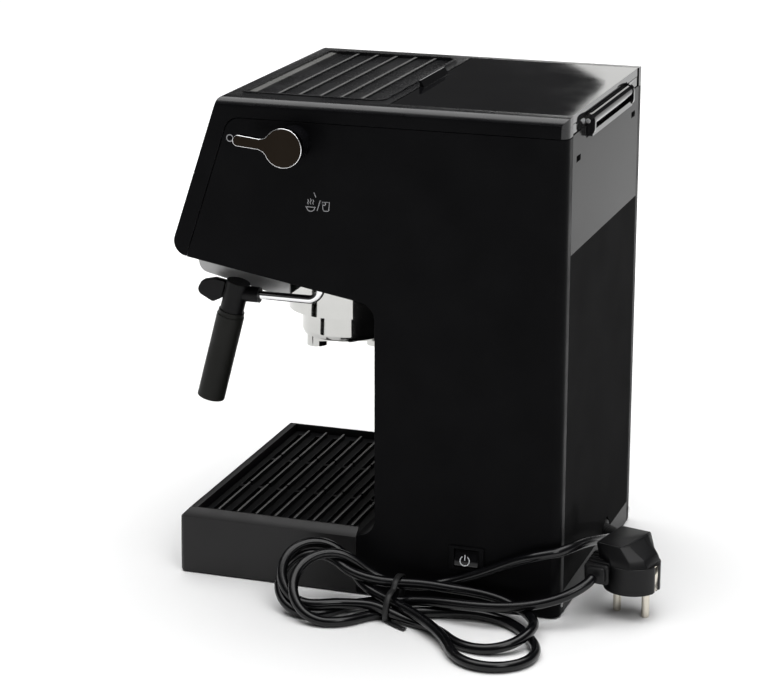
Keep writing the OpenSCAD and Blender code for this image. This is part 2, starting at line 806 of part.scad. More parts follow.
function route(path, i) = path[min(max(i, 0), len(path) - 1)];
function spline(path, steps) = [
    for (i = [0:len(path) - 2], k = [0:steps - 1])
        let (t = k / steps, a = route(path, i - 1), b = path[i], c = path[i + 1], d = route(path, i + 2))
        b + 0.5 * t * ((c - a) + t * ((2 * a - 5 * b + 4 * c - d) + t * (3 * b - a - 3 * c + d))),
    path[len(path) - 1]
];
module swept(path, r, sides = 8) {
    n = len(path);
    rings = [
        for (i = [0:n - 1])
            let (
                ahead = unit(path[min(i + 1, n - 1)] - path[max(i - 1, 0)]),
                across = unit(cross(ahead, [0, 0, 1])),
                up = cross(across, ahead)
            )
            [for (k = [0:sides - 1])
                path[i] + r * (cos(k * 360 / sides) * across + sin(k * 360 / sides) * up)]
    ];
    polyhedron(
        points = [for (ring = rings) each ring],
        faces = concat(
            [[for (k = [0:sides - 1]) k]],
            [for (i = [0:n - 2], k = [0:sides - 1])
                let (j = (k + 1) % sides)
                [i * sides + k, (i + 1) * sides + k, (i + 1) * sides + j, i * sides + j]],
            [[for (k = [0:sides - 1]) (n - 1) * sides + sides - 1 - k]]));
}
module cord_lead() {
    color([0.05, 0.05, 0.05]) swept(spline(lead_path, 3), cord_r);
}
module cord_tail() {
    color([0.05, 0.05, 0.05]) swept(spline(tail_path, 2), cord_r);
}
module hank_outline() {
    polygon(rounded(
        [[96, -62], [140, -62], [150, -20], [130, 16], [130, 42], [186, 84], [186, 120], [96, 120]],
        [20, 22, 30, 20, 20, 24, 22, 3]));
}
module cord_hank() {
    color([0.05, 0.05, 0.05]) difference() {
        translate([0, 0, 0.2]) linear_extrude(hank_h - 0.2) hank_outline();
        slab(94, 134, 26, 32, 0, hank_h + 1);
    }
}
module cord_tie() {
    color([0.04, 0.04, 0.04]) slab(96.5, 130, 26, 32, 0.2, hank_h);
}
module plug_frame() {
    translate([plug_at.x, plug_at.y, 0]) rotate(plug_turn) children();
}
module plug_body() {
    face_z = 17.5;
    grip_z = 34;
    relief_l = 28.6;
    color([0.05, 0.05, 0.05]) difference() {
        union() {
            plug_frame() rod_z(17, face_z, grip_z);
            plug_frame() translate([0, 0, grip_z]) linear_extrude(12)
                polygon(rounded([[-21.5, -19], [12, -19], [12, 9], [-21.5, 9]], [3, 3, 8, 8]));
            translate([60, 147, 30.5]) rotate([0, 95, -11]) cylinder(r1 = 7.5, r2 = 5, h = relief_l);
        }
        plug_frame() for (y = [-9.5, 9.5]) rod_z(2.4, 10, 23, 0, y);
    }
}
module plug_pins() {
    color([0.75, 0.73, 0.68]) plug_frame() for (y = [-9.5, 9.5]) rod_z(2.4, 0, 23, 0, y);
}

// Puts the origin under the middle of the machine's own box.
module place() {
    translate([-x_mid, -y_mid, 0]) children();
}

place() base_plate();
place() rubber_feet();
place() side_panel_right();
place() side_panel_left();
place() top_shell();
place() rear_panel();
place() column_front();
place() head_floor();
place() head_shroud();
place() control_panel();
place() cup_tray();
place() tank_bay();
place() group_ring();
place() group_gasket();
place() shower_screen();
place() boiler_lower();
place() boiler_upper();
place() boiler_bolts();
place() heater_terminals();
place() thermostats();
place() pump();
place() pump_mounts();
place() supply_hose();
place() boiler_hose();
place() valve_socket();
place() steam_valve();
place() steam_pipe();
place() wand_nut();
place() indicator_lamps();
place() switch_bezel();
place() cord_gland();
place() panel_screws();
place() steam_lever();
place() lever_boss();
place() power_rocker();
place() coffee_button();
place() steam_button();
place() water_tank();
place() tank_valve();
place() tank_lid();
place() lid_pin();
place() tank_handle();
place() drip_tray();
place() drip_grille();
place() holder_body();
place() holder_handle();
place() holder_spouts();
place() filter_basket();
place() thumb_tab();
place() wand_pipe();
place() wand_hub();
place() wand_tube();
place() wand_selector();
place() cord_lead();
place() cord_hank();
place() cord_tie();
place() cord_tail();
place() plug_body();
place() plug_pins();
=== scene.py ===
"""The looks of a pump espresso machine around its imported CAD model: lead, plug, icons and materials."""
import math

import bmesh
import bpy
import numpy as np
from mathutils import Matrix, Vector


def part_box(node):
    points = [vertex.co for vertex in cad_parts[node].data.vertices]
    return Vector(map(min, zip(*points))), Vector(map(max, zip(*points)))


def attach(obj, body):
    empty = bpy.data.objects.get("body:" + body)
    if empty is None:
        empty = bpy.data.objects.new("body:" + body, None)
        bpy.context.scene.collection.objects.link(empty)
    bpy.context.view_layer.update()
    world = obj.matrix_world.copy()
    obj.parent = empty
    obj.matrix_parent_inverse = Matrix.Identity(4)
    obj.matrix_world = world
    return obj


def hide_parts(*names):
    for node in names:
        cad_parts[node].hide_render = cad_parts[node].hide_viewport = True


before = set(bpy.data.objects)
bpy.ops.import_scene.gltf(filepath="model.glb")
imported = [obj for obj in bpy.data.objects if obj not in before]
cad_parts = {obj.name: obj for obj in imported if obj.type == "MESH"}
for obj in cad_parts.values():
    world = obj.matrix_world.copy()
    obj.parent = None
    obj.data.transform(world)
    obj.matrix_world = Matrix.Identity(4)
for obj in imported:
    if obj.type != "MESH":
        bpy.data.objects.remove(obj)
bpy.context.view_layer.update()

MM = 0.001
REAR_Y = 122.5 * MM  # the rear face, from the middle of the housing
CORD_D = 6.2 * MM
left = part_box("side_panel_left")
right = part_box("side_panel_right")
CENTRE = Vector(((left[0].x + right[1].x) / 2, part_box("rear_panel")[1].y - REAR_Y, 0))
SIDE_X = right[1].x - CENTRE.x


def at(x, y, z):
    """A place given in millimetres from the middle of the housing, as a point of the row frame."""
    return CENTRE + Vector((x, y, z)) * MM


# ---------------------------------------------------------------- camera
def make_camera():
    """Looks at the machine's right side and back, from a little above it."""
    azimuth = math.radians(108.93)
    elevation = math.radians(16.0)
    distance = 1.562
    aim = at(0, -21.65, 150)
    level = math.cos(elevation)
    back = Vector((math.sin(azimuth) * level, -math.cos(azimuth) * level, math.sin(elevation)))
    data = bpy.data.cameras.new("camera")
    data.lens = 114.45
    data.sensor_width = 36
    data.shift_x = 0.0113
    data.shift_y = -0.0422
    data.clip_end = 20
    camera = bpy.data.objects.new("camera", data)
    camera.location = aim + back * distance
    camera.rotation_euler = (-back).to_track_quat("-Z", "Y").to_euler()
    bpy.context.scene.collection.objects.link(camera)
    bpy.context.scene.camera = camera


# ---------------------------------------------------------------- mesh helpers
def new_object(name, mesh, smooth=True):
    piece = bpy.data.objects.new(name, mesh)
    bpy.context.scene.collection.objects.link(piece)
    if smooth:
        mesh.polygons.foreach_set("use_smooth", [True] * len(mesh.polygons))
    return piece


def from_bmesh(name, bm, smooth=True):
    mesh = bpy.data.meshes.new(name)
    bmesh.ops.recalc_face_normals(bm, faces=bm.faces)
    bm.to_mesh(mesh)
    bm.free()
    return new_object(name, mesh, smooth)


def frames_along(path):
    """Two directions across the path at each point, turned as little as can be from one to the next."""
    last = len(path) - 1
    tangents = [(path[min(i + 1, last)] - path[max(i - 1, 0)]).normalized() for i in range(last + 1)]
    across = tangents[0].cross(Vector((0, 0, 1)))
    if across.length < 0.1:
        across = tangents[0].cross(Vector((1, 0, 0)))
    across.normalize()
    found = []
    for tangent in tangents:
        across = (across - tangent * across.dot(tangent)).normalized()
        found.append((across.copy(), tangent.cross(across)))
    return found


def tube(name, path, radii, sides=20, squash=1.0):
    """A closed round skin along path; radii is one number or one for each point."""
    path = [Vector(p) for p in path]
    if not hasattr(radii, "__len__"):
        radii = [radii] * len(path)
    bm = bmesh.new()
    rings = []
    for point, radius, (across, up) in zip(path, radii, frames_along(path)):
        ring = []
        for k in range(sides):
            angle = 2 * math.pi * k / sides
            out = math.cos(angle) * across + squash * math.sin(angle) * up
            ring.append(bm.verts.new(point + radius * out))
        rings.append(ring)
    for low, high in zip(rings, rings[1:]):
        for k in range(sides):
            bm.faces.new((low[k], low[(k + 1) % sides], high[(k + 1) % sides], high[k]))
    bm.faces.new(rings[0][::-1])
    bm.faces.new(rings[-1])
    return from_bmesh(name, bm)


def prism(name, outline, low, high, bevel=0.0):
    """outline extruded upwards from low to high, with its long edges rounded."""
    bm = bmesh.new()
    bottom = [bm.verts.new((x, y, low)) for x, y in outline]
    top = [bm.verts.new((x, y, high)) for x, y in outline]
    caps = [bm.faces.new(bottom[::-1]), bm.faces.new(top)]
    count = len(outline)
    for k in range(count):
        after = (k + 1) % count
        bm.faces.new((bottom[k], bottom[after], top[after], top[k]))
    if bevel:
        edges = list({edge for cap in caps for edge in cap.edges})
        bmesh.ops.bevel(bm, geom=edges, offset=bevel, segments=3, affect="EDGES", profile=0.5)
    return from_bmesh(name, bm)


def arc(cx, cy, radius, start, end, steps):
    """Points from the angle start to the angle end, in degrees."""
    angles = [math.radians(start + (end - start) * k / steps) for k in range(steps + 1)]
    return [(cx + radius * math.cos(angle), cy + radius * math.sin(angle)) for angle in angles]


def rounded_box(w, h, r):
    """The outline of a box of half sizes w and h, with corners of radius r."""
    corners = [(w - r, h - r, 0), (r - w, h - r, 90), (r - w, r - h, 180), (w - r, r - h, 270)]
    return [p for cx, cy, a in corners for p in arc(cx, cy, r, a, a + 90, 5)]


def ribbon(bm, line, width, place, depth, closed=False):
    """A thin raised stripe along a flat line; place(a, b, c) puts it in the row frame."""
    points = [Vector(p) for p in line]
    count = len(points)
    rails = []
    for i in range(count):
        ahead = points[(i + 1) % count if closed else min(i + 1, count - 1)]
        behind = points[(i - 1) % count if closed else max(i - 1, 0)]
        side = (ahead - behind).normalized().orthogonal() * width / 2
        corners = ((1, 0), (1, depth), (-1, depth), (-1, 0))
        rails.append([bm.verts.new(place(*(points[i] + s * side), c)) for s, c in corners])
    for i in range(count if closed else count - 1):
        a, b = rails[i], rails[(i + 1) % count]
        for k in range(4):
            bm.faces.new((a[k], a[(k + 1) % 4], b[(k + 1) % 4], b[k]))
    if not closed:
        bm.faces.new(rails[0])
        bm.faces.new(rails[-1][::-1])


# ---------------------------------------------------------------- mains lead
# The lead's route from the rear panel to the plug, in millimetres from the middle of the housing: the free
# stretch, five folds to the left and right of the tie, and the tail.
LEAD = [
    (-4.8, 137.2, 19.9), (0, 139.4, 21.6), (12, 141.5, 26.5), (28, 141, 32), (46, 138, 37.5),
    (64, 134, 42), (80, 130, 48.5), (90.8, 126.4, 50), (97, 118.6, 48.5), (97.2, 106, 42),
    (97, 92.4, 34.5), (97, 77, 25.6), (97.3, 62, 17), (98.5, 50, 13), (101, 40, 12.5)
]
LEFT_1 = [
    (103, 28, 13), (105, 14, 16), (108, 1, 23), (112, -12, 30), (119, -25, 34), (129, -33, 30),
    (136, -37, 20), (142, -33, 10), (147, -22, 4), (146, -8, 3.3), (137, 4, 3.3), (127, 15, 3.4),
    (120, 28, 3.6)
]
RIGHT_1 = [
    (116, 42, 3.8), (111, 58, 4.5), (107, 76, 5), (107, 92, 4.2), (115, 105, 3.3), (130, 115, 3.3),
    (149, 122, 3.3), (168, 124, 3.3), (182, 116, 3.3), (184, 103, 3.3), (172, 89, 3.5), (156, 74, 5),
    (140, 58, 9), (128, 42, 9.5)
]
LEFT_2 = [
    (120, 28, 10), (117, 14, 13), (112, 2, 19), (108, -10, 27), (107, -24, 35), (112, -38, 40),
    (123, -46, 36), (131, -46, 25), (132, -36, 15), (128, -22, 9), (126, -6, 5), (127, 10, 3.6),
    (127, 28, 3.6)
]
RIGHT_2 = [
    (128, 42, 3.4), (133, 56, 3.3), (143, 72, 3.3), (154, 86, 3.3), (159, 99, 3.3), (153, 111, 3.5),
    (139, 118, 5), (122, 118, 7), (108, 111, 8.5), (99, 98, 10.5), (97, 84, 13), (97.2, 68, 14.5),
    (99, 54, 18), (103, 40, 19)
]
LEFT_3 = [
    (110, 28, 17.5), (113, 14, 17), (115, 2, 18.5), (116, -12, 21), (117, -26, 24), (120, -42, 24),
    (128, -54, 17), (135, -50, 8), (133, -36, 5), (126, -22, 4.2), (120, -6, 5), (114, 10, 5.5),
    (110, 28, 6)
]
TAIL = [
    (111, 42, 11), (115, 56, 12.5), (118, 72, 13), (118.5, 88, 13.5), (116, 101, 14), (110, 112, 14.5),
    (104, 120, 16), (104, 126, 18), (103, 132, 20), (101, 137, 23), (96, 140, 26), (88, 141.6, 28)
]
CORD_STEP = 4 * MM
FOLD_R = 23 * MM
APART = CORD_D * 1.02  # the least distance between two runs of the lead
NEAR_ALONG = 7  # points nearer than this along the lead never count as two runs
EDGE_SPARE = 0.1 * MM


def b_spline(points, steps=8):
    """A smooth line that is drawn by the points, with steps places for each of them."""
    points = np.array(points, float)
    points = np.vstack([2 * points[0] - points[1], points, 2 * points[-1] - points[-2]])
    line = []
    for a, b, c, d in zip(points, points[1:], points[2:], points[3:]):
        for t in np.arange(steps) / steps:
            line.append(((1 - t) ** 3 * a + (3 * t ** 3 - 6 * t ** 2 + 4) * b
                         + (-3 * t ** 3 + 3 * t * t + 3 * t + 1) * c + t ** 3 * d) / 6)
    line.append(points[-2])
    return np.array(line)


def evenly(line, step):
    """The same line with its points step apart."""
    run = np.r_[0, np.cumsum(np.linalg.norm(np.diff(line, axis=0), axis=1))]
    marks = np.linspace(0, run[-1], int(round(run[-1] / step)) + 1)
    return np.stack([np.interp(marks, run, line[:, k]) for k in range(3)], axis=1)


def open_bends(points, reach_over, step):
    """Pushes apart points that sit nearer than they may on a bend of the fold's radius."""
    least = 2 * FOLD_R * math.sin(reach_over * step / FOLD_R)
    ahead = slice(2 * reach_over, None)
    behind = slice(None, -2 * reach_over)
    gap = points[ahead] - points[behind]
    size = np.linalg.norm(gap, axis=1)
    push = gap * (np.clip(least - size, 0, None) / np.maximum(size, 1e-9))[:, None] * 0.4
    moved = np.zeros_like(points)
    shares = np.zeros(len(points))
    moved[behind] -= push
    moved[ahead] += push
    active = (size < least).astype(float)
    shares[behind] += active
    shares[ahead] += active
    return points + moved / np.maximum(shares, 1)[:, None]


def keep_length(points, step):
    """Moves neighbours towards or away from each other until they are step apart."""
    for parity in (0, 1):
        i = np.arange(parity, len(points) - 1, 2)
        gap = points[i + 1] - points[i]
        size = np.linalg.norm(gap, axis=1)
        move = gap * ((size - step) / np.maximum(size, 1e-9))[:, None] * 0.5
        points[i] += move
        points[i + 1] -= move


def part_runs(points, first, second):
    """Pushes apart the pairs first, second that lie inside each other."""
    gap = points[second] - points[first]
    size = np.sqrt((gap * gap).sum(1))
    near = size < APART
    move = gap[near] * ((APART - size[near]) / np.maximum(size[near], 1e-7))[:, None] * 0.18
    np.add.at(points, first[near], -move)
    np.add.at(points, second[near], move)


def settle(points, rounds=700, hold=0.02):
    """Keeps the lead's length while it opens bends that are too tight and parts runs that touch."""
    start = points.copy()
    step = float(np.mean(np.linalg.norm(np.diff(points, axis=0), axis=1)))
    first, second = np.triu_indices(len(points), NEAR_ALONG)
    wall = SIDE_X + CENTRE.x + CORD_D / 2 + 3 * EDGE_SPARE
    rear = CENTRE.y + REAR_Y
    right_half = CENTRE.x + 0.06
    for turn in range(rounds):
        points = points + (start - points) * hold * (1 - turn / rounds)
        keep_length(points, step)
        points[1:-1] += 0.25 * ((points[:-2] + points[2:]) / 2 - points[1:-1])
        for reach_over in (1, 2, 3, 4):
            points = open_bends(points, reach_over, step)
        part_runs(points, first, second)
        beside = (points[:, 1] < rear) & (points[:, 0] > right_half)
        points[:, 0] = np.where(beside, np.maximum(points[:, 0], wall), points[:, 0])
        points[:, 2] = np.maximum(points[:, 2], CORD_D / 2 + EDGE_SPARE)
        points[:2] = start[:2]
        points[-2:] = start[-2:]
    return points


def make_cord():
    """The whole lead as one piece, and its middle line."""
    route = LEAD + LEFT_1 + RIGHT_1 + LEFT_2 + RIGHT_2 + LEFT_3 + TAIL
    line = evenly(b_spline([at(*p) for p in route]), CORD_STEP)
    line = settle(line)
    fine = evenly(b_spline(line, 2), CORD_STEP / 2)
    return tube("mains_lead", fine, CORD_D / 2, sides=20), fine


def tie_ring(line, y, count):
    """The loop of a strap drawn tight round the runs that pass the plane of the tie, as x and z."""
    reach = 4 * MM
    section = np.array([p for p in line if abs(p[1] - y) < reach and p[0] > CENTRE.x + SIDE_X])
    flat = section[:, [0, 2]]
    middle = flat.mean(0)
    radius = CORD_D / 2 + 0.8 * MM
    ring = []
    for k in range(count):
        angle = 2 * math.pi * k / count
        way = np.array([math.cos(angle), math.sin(angle)])
        ring.append(middle + way * ((flat - middle) @ way + radius).max())
    ring = np.array(ring)
    for _ in range(3):
        ring = (np.roll(ring, 1, 0) + 2 * ring + np.roll(ring, -1, 0)) / 4
    ring[:, 1] = np.maximum(ring[:, 1], 0.6 * MM)
    return ring


def make_tie(line):
    """A soft strap round the folded lead, its end lying out on the surface in front."""
    count = 64
    y = at(0, 27, 0).y
    ring = tie_ring(line, y, count)
    thickness = 0.8 * MM
    profile = ((-1.9 * MM, 0), (-1.7 * MM, thickness), (1.7 * MM, thickness), (1.9 * MM, 0))
    bm = bmesh.new()
    rails = []
    for k, (x, z) in enumerate(ring):
        out = (ring[(k + 1) % count] - ring[k - 1])[::-1] * (1, -1)
        out = out / np.linalg.norm(out)
        lean = 1.2 * MM * math.sin(2 * math.pi * k / count)
        rail = []
        for across, thick in profile:
            rise = thick - thickness / 2
            high = max(z + out[1] * rise, EDGE_SPARE + thick * 0.3)
            rail.append(bm.verts.new((x + out[0] * rise, y + lean + across, high)))
        rails.append(rail)
    for a, b in zip(rails, rails[1:] + rails[:1]):
        for k in range(4):
            bm.faces.new((a[k], a[(k + 1) % 4], b[(k + 1) % 4], b[k]))
    band = from_bmesh("lead_tie", bm)
    low = ring[np.argmax(ring[:, 0] - ring[:, 1])]
    root = Vector((low[0] - 1 * MM, y, low[1]))
    bend = [root + Vector(step) * MM for step in ((0, 0, 0), (3, 3, -2), (6, 8, -6), (9, 14, -12))]
    bend = [Vector((p.x, p.y, max(p.z, 1.4 * MM))) for p in bend]
    tail = tube("tie_end", b_spline(bend, 6), 1.7 * MM, sides=10, squash=0.4)
    return [band, tail]


def make_gland():
    """The strain relief in the rear panel: a flange, then a taper with ribs."""
    root = at(-27, 120.5, 14)
    along = at(*LEAD[0]) - root
    root_r = 5.4 * MM
    tip_r = CORD_D / 2 + 0.5 * MM
    groove_depth = 0.7 * MM
    steps = 60
    path = [root + along * (k / steps) for k in range(steps + 1)]
    radii = []
    for k in range(steps + 1):
        t = k / steps
        grooved = t > 0.2 and (t * 9) % 1 > 0.62
        radii.append(root_r + (tip_r - root_r) * t - (groove_depth if grooved else 0))
    cone = tube("strain_relief", path, radii, sides=28)
    profile = [(112, 7.6), (118, 7.6), (121.6, 7.6), (122.3, 7.3), (122.5, 6.6)]
    middles = [at(-27, y, 14) for y, radius in profile]
    flange = tube("gland_flange", middles, [radius * MM for y, radius in profile], sides=40)
    return [cone, flange]


# ---------------------------------------------------------------- plug
PLUG_TURN = math.radians(-14)
PLUG_FACE_Z = 17.5  # the face that the pins stand out of, above the surface
PLUG_GRIP_Z = 34.0
# The grip's outline at four heights, in millimetres round the middle of the plug.
GRIP_LEVELS = [
    (PLUG_GRIP_Z,
     [(-21.5, -15), (11, -15.5), (16.4, -6), (16.4, 6), (9, 14.5), (-8, 15), (-15, 8), (-21.5, 4)]),
    (38.5,
     [(-21.5, -17), (11.5, -17), (15.2, -7), (14.8, 5), (8, 12), (-9, 12), (-15, 7), (-21.5, 3)]),
    (45.2,
     [(-21.2, -18.6), (11.5, -18.6), (12.2, -9), (12, -2), (6, 0.4), (-10, 1.2), (-16, 1.6), (-21.2, 1.6)]),
    (46.0,
     [(-20.6, -18), (10.9, -18), (11.5, -9), (11.3, -2.4), (5.6, -0.2), (-10, 0.6), (-16, 1), (-20.6, 1)])
]


def plug_round():
    """The round body, flattened where the earth contacts lie."""
    radius = 17.0 * MM
    outline = []
    for k in range(72):
        angle = 2 * math.pi * k / 72
        x, y = radius * math.cos(angle), radius * math.sin(angle)
        if abs(math.degrees(angle) - 90) < 9 or abs(math.degrees(angle) - 270) < 9:
            y *= 0.9
        outline.append((x, y))
    return prism("plug_round", outline, PLUG_FACE_Z * MM, PLUG_GRIP_Z * MM, bevel=0.8 * MM)


def plug_grip():
    bm = bmesh.new()
    rings = [[bm.verts.new(Vector((x, y, z)) * MM) for x, y in outline] for z, outline in GRIP_LEVELS]
    count = len(rings[0])
    for low, high in zip(rings, rings[1:]):
        for k in range(count):
            after = (k + 1) % count
            bm.faces.new((low[k], low[after], high[after], high[k]))
    bm.faces.new(rings[0][::-1])
    bm.faces.new(rings[-1])
    bmesh.ops.bevel(bm, geom=list(bm.edges), offset=0.7 * MM, segments=2, affect="EDGES", profile=0.5)
    return from_bmesh("plug_grip", bm)


def plug_relief():
    """A stem along the lead's last stretch with five flat ribs round it."""
    root = at(60, 147, 30.5)
    along = (at(*TAIL[-1]) - root).normalized()
    pieces = [prism("plug_relief", rounded_box(6 * MM, 5 * MM, 2 * MM), 0, 24.5 * MM, bevel=0.8 * MM)]
    for k in range(5):
        low = (6.2 + k * 3.6) * MM
        half = (9 - k * 0.3) * MM
        outline = rounded_box(half, half - 1.6 * MM, 2 * MM)
        pieces.append(prism("relief_rib_%d" % (k + 1), outline, low, low + 2.1 * MM, bevel=0.5 * MM))
    stand = Matrix.Translation(root) @ along.to_track_quat("Z", "Y").to_matrix().to_4x4()
    for piece in pieces:
        piece.data.transform(stand)
    return pieces


def make_plug():
    """A moulded angled plug that stands on its pins: round body, flat grip, ribbed cord relief."""
    turn = Matrix.Translation(at(67, 161, 0)) @ Matrix.Rotation(PLUG_TURN, 4, "Z")
    body = plug_round()
    grip = plug_grip()
    for piece in (body, grip):
        piece.data.transform(turn)
    relief = plug_relief()
    clips = []
    for letter, side in (("a", -1), ("b", 1)):
        outline = rounded_box(2.2 * MM, 0.5 * MM, 0.4 * MM)
        clip = prism("earth_clip_" + letter, outline, 18.2 * MM, 33.5 * MM)
        clip.data.transform(turn @ Matrix.Translation((0, side * 15.7 * MM, 0)))
        clips.append(clip)
    return [body, grip] + relief, clips


# ---------------------------------------------------------------- printed marks
INK = 0.06 * MM


def mark(name, strokes, place, width):
    """Printed strokes, each a list of points in millimetres and whether it closes."""
    bm = bmesh.new()
    for line, closed in strokes:
        ribbon(bm, [(a * MM, b * MM) for a, b in line], width, place, INK, closed)
    return from_bmesh(name, bm, smooth=False)


def side_place(a, b, c):
    """a along the machine, b up, c out of the right side panel."""
    return Vector((CENTRE.x + SIDE_X + c, CENTRE.y + a, b))


def side_marks():
    """The ring at the lever's closed place, and steam over a cup beside a jug at its open one."""
    ring = [(arc(-83.7, 279.6, 2.0, 0, 337.5, 15), True)]
    steam = [
        (arc(-33.0, 241.6, 2.6, 180, 360, 8), False), ([(-36.2, 241.6), (-29.8, 241.6)], False),
        ([(-34.4, 243.2), (-34.9, 244.2), (-34.2, 245.2), (-34.7, 246.2)], False),
        ([(-32.8, 243.2), (-33.3, 244.4), (-32.6, 245.6), (-33.1, 246.8)], False),
        ([(-31.2, 243.2), (-31.7, 244.2), (-31.0, 245.2), (-31.5, 246.2)], False)
    ]
    slash = [([(-28.9, 239.6), (-26.9, 246.0)], False)]
    jug = [
        ([(-25.6, 245.2), (-25.2, 240.4), (-24.6, 239.8), (-22.2, 239.8), (-21.6, 240.4), (-21.2, 245.2)],
         True),
        (arc(-24.6, 244.2, 1.0, 0, 337.5, 15), True)
    ]
    tick = [([(-30.8, 250.4), (-29.6, 247.6)], False)]
    return [mark("closed_mark", ring, side_place, 0.62 * MM),
            mark("position_icons", steam + slash + jug + tick, side_place, 0.46 * MM)]


def switch_mark():
    """The power sign on the rocker's lower face."""
    low, high = at(94.2, 0, 28.3), at(93, 0, 35)
    up = (high - low).normalized()
    out = Vector((up.z, 0, -up.x))

    def place(a, b, c):
        point = low + up * b + out * (c + 0.02 * MM)
        return Vector((point.x, CENTRE.y + a, point.z))

    sign = [(arc(64.4, 2.9, 2.9, 122, 418, 28), False), ([(64.4, 3.2), (64.4, 6.6)], False)]
    return mark("power_sign", sign, place, 0.62 * MM)


FRONT_SLOPE = 0.334
FRONT_LEAN = math.atan(FRONT_SLOPE)


def front_place(a, b, c):
    """a across the machine, b up the leaning front, c out of it, from the middle of the control panel."""
    housing_z, panel_z = 304, 251
    middle = at(0, -91.7 - (housing_z - panel_z) * FRONT_SLOPE, panel_z)
    up = Vector((0, math.sin(FRONT_LEAN), math.cos(FRONT_LEAN)))
    out = Vector((0, -math.cos(FRONT_LEAN), math.sin(FRONT_LEAN)))
    return middle + Vector((a, 0, 0)) + up * b + out * c


def button_mark(name, x, strokes):
    """Strokes on the top of a round button; x is the button's place across the panel."""
    def place(a, b, c):
        return front_place(a + x * MM, b + 6 * MM, c + 3.42 * MM)
    return mark(name, strokes, place, 0.6 * MM)


def front_marks():
    cup = [
        ([(-3, 1.6), (-2.4, -2.6), (1.8, -2.6), (2.4, 1.6)], True),
        (arc(2.9, -0.4, 1.3, -100, 100, 8), False)
    ]
    steam = [([(x, -3), (x - 0.8, -1.4), (x + 0.6, 0.4), (x - 0.4, 2.4)], False) for x in (-2.2, 0, 2.2)]
    return [button_mark("coffee_icon", -27, cup), button_mark("steam_icon", 27, steam)]


# ---------------------------------------------------------------- materials
def set_inputs(shader, **values):
    for name, value in values.items():
        shader.inputs[name.replace("_", " ")].default_value = value


def finish_material(name, base, rough, specular=0.5, metallic=0.0, grain=(1500, 0.1), rough_spread=0.06,
                    wear=0.0, wear_colour=(0.25, 0.25, 0.25), coat=0.0, anisotropy=0.0, alpha=1.0,
                    stretch=(1, 1, 1), ior=1.5, stripe=None):
    """A surface with fine grain, uneven gloss, faint colour drift, lighter worn edges and, where asked, a
    painted highlight band.

    grain is the scale and strength of the bump, wear how far the edges turn wear_colour, and stripe a start,
    an end and a colour:
    between the start and the end along the machine the surface has that colour, painted there as a highlight
    band.
    """
    material = bpy.data.materials.new(name)
    material.use_nodes = True
    nodes, links = material.node_tree.nodes, material.node_tree.links
    shader = nodes["Principled BSDF"]
    shader.inputs["Metallic"].default_value = metallic
    shader.inputs["Specular IOR Level"].default_value = specular
    shader.inputs["Coat Weight"].default_value = coat
    shader.inputs["Coat Roughness"].default_value = 0.03
    shader.inputs["Anisotropic"].default_value = anisotropy
    shader.inputs["Alpha"].default_value = alpha
    shader.inputs["IOR"].default_value = ior
    where = nodes.new("ShaderNodeTexCoord")
    scaled = nodes.new("ShaderNodeMapping")
    scaled.inputs["Scale"].default_value = stretch
    links.new(where.outputs["Object"], scaled.inputs["Vector"])

    def noise(scale, detail):
        node = nodes.new("ShaderNodeTexNoise")
        node.inputs["Scale"].default_value = scale
        node.inputs["Detail"].default_value = detail
        links.new(scaled.outputs["Vector"], node.inputs["Vector"])
        return node.outputs["Fac"]

    def ranged(value, low, high, start=0.3, end=0.7):
        node = nodes.new("ShaderNodeMapRange")
        node.inputs["From Min"].default_value = start
        node.inputs["From Max"].default_value = end
        node.inputs["To Min"].default_value = low
        node.inputs["To Max"].default_value = high
        links.new(value, node.inputs["Value"])
        return node.outputs["Result"]

    def mixed(factor, a, b):
        node = nodes.new("ShaderNodeMix")
        node.data_type = "RGBA"
        for socket, value in ((node.inputs["Factor"], factor), (node.inputs["A"], a), (node.inputs["B"], b)):
            if hasattr(value, "is_output"):
                links.new(value, socket)
            else:
                socket.default_value = value
        return node.outputs["Result"]

    blotch = 0.08
    dark = tuple(c * (1 - blotch) for c in base) + (1,)
    light = tuple(min(1, c * (1 + blotch) + 0.001) for c in base) + (1,)
    colour = mixed(ranged(noise(28, 4), 0, 1), dark, light)
    if wear:
        geometry = nodes.new("ShaderNodeNewGeometry")
        edge = ranged(geometry.outputs["Pointiness"], 0, wear, 0.52, 0.62)
        colour = mixed(edge, colour, wear_colour + (1,))
    # Painted highlight: a lighter band of colour between start and end, where a glossy slope would mirror
    # bright light.
    if stripe:
        split = nodes.new("ShaderNodeSeparateXYZ")
        links.new(where.outputs["Object"], split.inputs["Vector"])
        start, end, highlight_colour = stripe
        edge = (end - start) * 0.12
        rise = ranged(split.outputs["Y"], 0, 1, start - edge, start + edge)
        fall = ranged(split.outputs["Y"], 1, 0, end - edge, end + edge)
        both = nodes.new("ShaderNodeMath")
        both.operation = "MULTIPLY"
        links.new(rise, both.inputs[0])
        links.new(fall, both.inputs[1])
        colour = mixed(both.outputs["Value"], colour, highlight_colour + (1,))
    links.new(colour, shader.inputs["Base Color"])
    roughness = ranged(noise(45, 6), max(0.01, rough - rough_spread), rough + rough_spread)
    links.new(roughness, shader.inputs["Roughness"])
    scale, strength = grain
    bump = nodes.new("ShaderNodeBump")
    bump.inputs["Strength"].default_value = strength
    bump.inputs["Distance"].default_value = 0.0002
    links.new(noise(scale, 3), bump.inputs["Height"])
    links.new(bump.outputs["Normal"], shader.inputs["Normal"])
    return material


